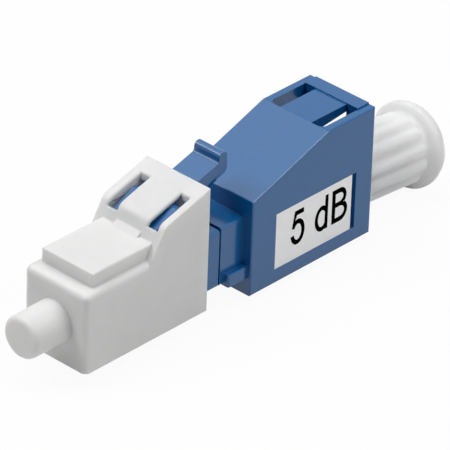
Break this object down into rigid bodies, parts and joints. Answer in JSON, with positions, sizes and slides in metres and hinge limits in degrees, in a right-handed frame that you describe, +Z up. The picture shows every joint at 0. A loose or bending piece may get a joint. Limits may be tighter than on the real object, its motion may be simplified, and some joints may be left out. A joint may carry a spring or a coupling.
{
  "type": "fibre attenuator",
  "caption": "Plug-in LC fibre attenuator: blue body with a latched plug and a port, white slotted dust cap over the plug, ribbed white dust plug in the port and a value label.",
  "frame": {"origin": "tip of the plug's ferrule, on the optical axis", "axes": "+X along the optical axis from the plug to the port, +Z up through the latch, label on the -Y side"},
  "size_m": [0.039, 0.0064, 0.0115],
  "materials": {
    "blue_plastic": "satin moulded blue",
    "cap_plastic": "satin moulded white",
    "port_plug_plastic": "soft satin white",
    "zirconia": "polished white ceramic",
    "fibre": "clear glass fibre",
    "collar_metal": "nickel-plated",
    "spring_steel": "bright wire",
    "holder_plastic": "moulded natural",
    "label": "matt pale label with a black value mark"
  },
  "bodies": {
    "housing": {"rear_housing": "blue_plastic", "plug_frame": "blue_plastic", "sleeve_holder": "holder_plastic", "split_sleeve": "zirconia", "value_label": "label", "ferrule_spring": "spring_steel"},
    "latch": {"latch_lever": "blue_plastic"},
    "ferrule_set": {"ferrule": "zirconia", "attenuating_fibre": "fibre", "ferrule_flange": "collar_metal"},
    "plug_cap": {"plug_dust_cap": "cap_plastic"},
    "port_plug": {"port_dust_plug": "port_plug_plastic"}
  },
  "joints": [
    {"name": "latch_press", "type": "hinge", "parent": "housing", "child": "latch", "pos_m": [0.00475, 0, 0.00232], "axis": [0, 1, 0], "range_deg": [0, 8], "stiffness_Nm_per_rad": 0.1},
    {"name": "ferrule_float", "type": "slide", "parent": "housing", "child": "ferrule_set", "axis": [1, 0, 0], "range_m": [0, 0.0006], "stiffness_N_per_m": 2000, "deforming": ["ferrule_spring"]},
    {"name": "plug_cap_pull", "type": "slide", "parent": "housing", "child": "plug_cap", "axis": [-1, 0, 0], "range_m": [0, 0.014]},
    {"name": "port_plug_pull", "type": "slide", "parent": "housing", "child": "port_plug", "axis": [0.9969, 0, -0.0785], "range_m": [0, 0.012]}
  ]
}
